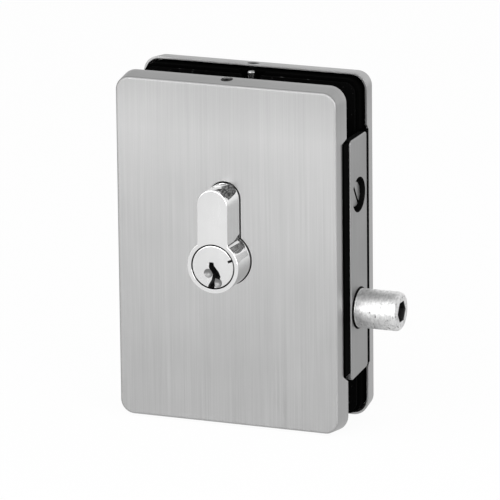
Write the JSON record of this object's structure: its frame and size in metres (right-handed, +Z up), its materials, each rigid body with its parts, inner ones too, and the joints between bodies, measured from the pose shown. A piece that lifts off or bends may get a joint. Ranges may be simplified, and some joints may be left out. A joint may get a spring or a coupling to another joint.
{
  "type": "glass door patch lock",
  "caption": "Patch lock clamped over both faces of a frameless glass door: flat steel covers, black clamping halves, profile cylinder and a round sliding deadbolt.",
  "frame": {"origin": "where the key axis crosses the middle plane of the glass slot", "axes": "+X along the cover towards the end of the deadbolt, +Y through the glass from the front cover to the rear cover, +Z up, the way the leg of the cylinder points"},
  "size_m": [0.0895, 0.053, 0.111],
  "materials": {
    "cover_steel": "upright brush lines",
    "body_black": "matt black",
    "gasket_rubber": "matt",
    "forend_steel": "matt, brushed along its length",
    "case_zinc": "dark coat on die-cast zinc",
    "screw_steel": "bright",
    "screw_black": "blackened",
    "spring_steel": "plain",
    "bolt_steel": "bright turned",
    "carriage_steel": "zinc plated",
    "cylinder_nickel": "satin nickel",
    "plug_nickel": "satin nickel",
    "pin_brass": "plain",
    "cam_steel": "sintered, plain"
  },
  "bodies": {
    "housing": {"front_cover": "cover_steel", "rear_cover": "cover_steel", "front_body": "body_black", "rear_body": "body_black", "front_gasket": "gasket_rubber", "rear_gasket": "gasket_rubber", "forend": "forend_steel", "lock_case": "case_zinc", "case_lid": "case_zinc", "lid_screws": "screw_steel", "clamp_screws": "screw_steel", "cover_screws": "screw_black", "stop_screws": "screw_black", "leaf_spring": "spring_steel", "cylinder_body": "cylinder_nickel", "cylinder_screw": "screw_steel", "driver_pins": "pin_brass", "pin_springs": "spring_steel", "pin_stoppers": "pin_brass"},
    "front_plug": {"front_plug": "plug_nickel", "front_key_pins": "pin_brass", "front_clip": "spring_steel"},
    "rear_plug": {"rear_plug": "plug_nickel", "rear_key_pins": "pin_brass", "rear_clip": "spring_steel"},
    "cam": {"cam": "cam_steel", "cam_coupler": "cam_steel"},
    "deadbolt": {"deadbolt": "bolt_steel", "bolt_carriage": "carriage_steel", "bolt_pin": "carriage_steel"}
  },
  "joints": [
    {"name": "cam_turn", "type": "hinge", "parent": "housing", "child": "cam", "pos_m": [0, 0, 0], "axis": [0, 1, 0], "range_deg": [0, 111.4]},
    {"name": "front_plug_turn", "type": "hinge", "parent": "housing", "child": "front_plug", "pos_m": [0, -0.02, 0], "axis": [0, 1, 0], "range_deg": [0, 111.4]},
    {"name": "rear_plug_turn", "type": "hinge", "parent": "housing", "child": "rear_plug", "pos_m": [0, 0.02, 0], "axis": [0, 1, 0], "continuous": true},
    {"name": "bolt_slide", "type": "slide", "parent": "housing", "child": "deadbolt", "axis": [1, 0, 0], "range_m": [-0.014, 0]}
  ],
  "couplings": [
    {"joint": "cam_turn", "follows": "front_plug_turn", "ratio": 1},
    {"joint": "bolt_slide", "follows": "front_plug_turn", "m_per_rad": -0.0072}
  ]
}
